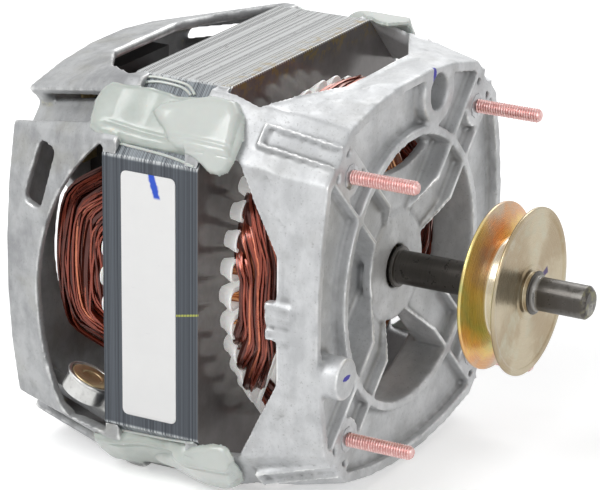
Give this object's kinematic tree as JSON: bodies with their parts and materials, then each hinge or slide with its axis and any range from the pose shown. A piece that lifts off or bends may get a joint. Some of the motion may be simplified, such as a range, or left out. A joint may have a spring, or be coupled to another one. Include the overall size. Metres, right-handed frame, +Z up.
{
  "type": "direct drive motor",
  "caption": "Open-frame induction motor with die-cast ribbed end shields, exposed slotted core and windings, four threaded studs and a V-belt pulley.",
  "frame": {"origin": "centre of the four mounting studs, on the plane where they leave the front shield's face", "axes": "+X along the shaft towards the pulley, +Z up, -Y the side that carries the bare plate"},
  "size_m": [0.2086, 0.156, 0.155],
  "materials": {
    "cast_aluminium": "as die-cast, fine sand-like texture",
    "lamination_steel": "stacked sheet edges, lightly stained",
    "liner_film": "translucent white folded film",
    "enamelled_wire": "dark red-brown varnished enamel over copper",
    "cement": "glossy pale grey-green bonding compound",
    "copper_plated_steel": "thin copper-pink plating on steel",
    "spring_steel": "bright sheet and wire steel",
    "plate_steel": "plain zinc-coated sheet",
    "black_plastic": "moulded black phenolic",
    "sintered_bronze": "porous oil-filled bronze",
    "felt": "oil-soaked felt",
    "shaft_steel": "ground steel with a black oxide skin",
    "pulley_steel": "turned steel with yellow passivation",
    "brass_blade": "stamped tab",
    "white_film": "bare white satin film"
  },
  "bodies": {
    "stator_frame": {"front_shield": "cast_aluminium", "rear_shield": "cast_aluminium", "stator_core": "lamination_steel", "slot_liners": "liner_film", "main_winding": "enamelled_wire", "start_winding": "enamelled_wire", "corner_cement": "cement", "mounting_studs": "copper_plated_steel", "stud_push_nuts": "spring_steel", "blank_plate": "white_film", "protector_can": "plate_steel", "protector_base": "black_plastic", "sleeve_bearings": "sintered_bronze", "bearing_felts": "felt", "bearing_retainers": "spring_steel", "rear_bearing_cap": "plate_steel", "switch_base": "black_plastic", "lever_pin": "spring_steel", "switch_terminals": "brass_blade", "switch_screws": "spring_steel"},
    "rotor": {"thrust_washers": "black_plastic", "oil_slinger": "plate_steel", "shaft": "shaft_steel", "rotor_core": "lamination_steel", "rotor_cage": "cast_aluminium", "pulley": "pulley_steel", "governor_plate": "plate_steel", "weight_pins": "spring_steel", "governor_springs": "spring_steel"},
    "governor_slide": {"governor_spool": "black_plastic"},
    "weight_a": {"governor_weight_a": "plate_steel"},
    "weight_b": {"governor_weight_b": "plate_steel"},
    "switch_arm": {"switch_lever": "black_plastic"}
  },
  "joints": [
    {"name": "shaft_spin", "type": "hinge", "parent": "stator_frame", "child": "rotor", "pos_m": [0, 0, 0], "axis": [1, 0, 0], "continuous": true},
    {"name": "spool_slide", "type": "slide", "parent": "rotor", "child": "governor_slide", "axis": [1, 0, 0], "range_m": [0, 0.0035], "stiffness_N_per_m": 3000, "springref_m": -0.004},
    {"name": "weight_a_swing", "type": "hinge", "parent": "rotor", "child": "weight_a", "pos_m": [-0.106, 0.02, 0], "axis": [0, 0, 1], "range_deg": [0, 24]},
    {"name": "weight_b_swing", "type": "hinge", "parent": "rotor", "child": "weight_b", "pos_m": [-0.106, -0.02, 0], "axis": [0, 0, -1], "range_deg": [0, 24]},
    {"name": "lever_swing", "type": "hinge", "parent": "stator_frame", "child": "switch_arm", "pos_m": [-0.1183, 0, 0.036], "axis": [0, -1, 0], "range_deg": [0, 9]}
  ],
  "couplings": [
    {"joint": "weight_a_swing", "follows": "spool_slide", "rad_per_m": 106},
    {"joint": "weight_b_swing", "follows": "spool_slide", "rad_per_m": 106},
    {"joint": "lever_swing", "follows": "spool_slide", "rad_per_m": 40}
  ]
}
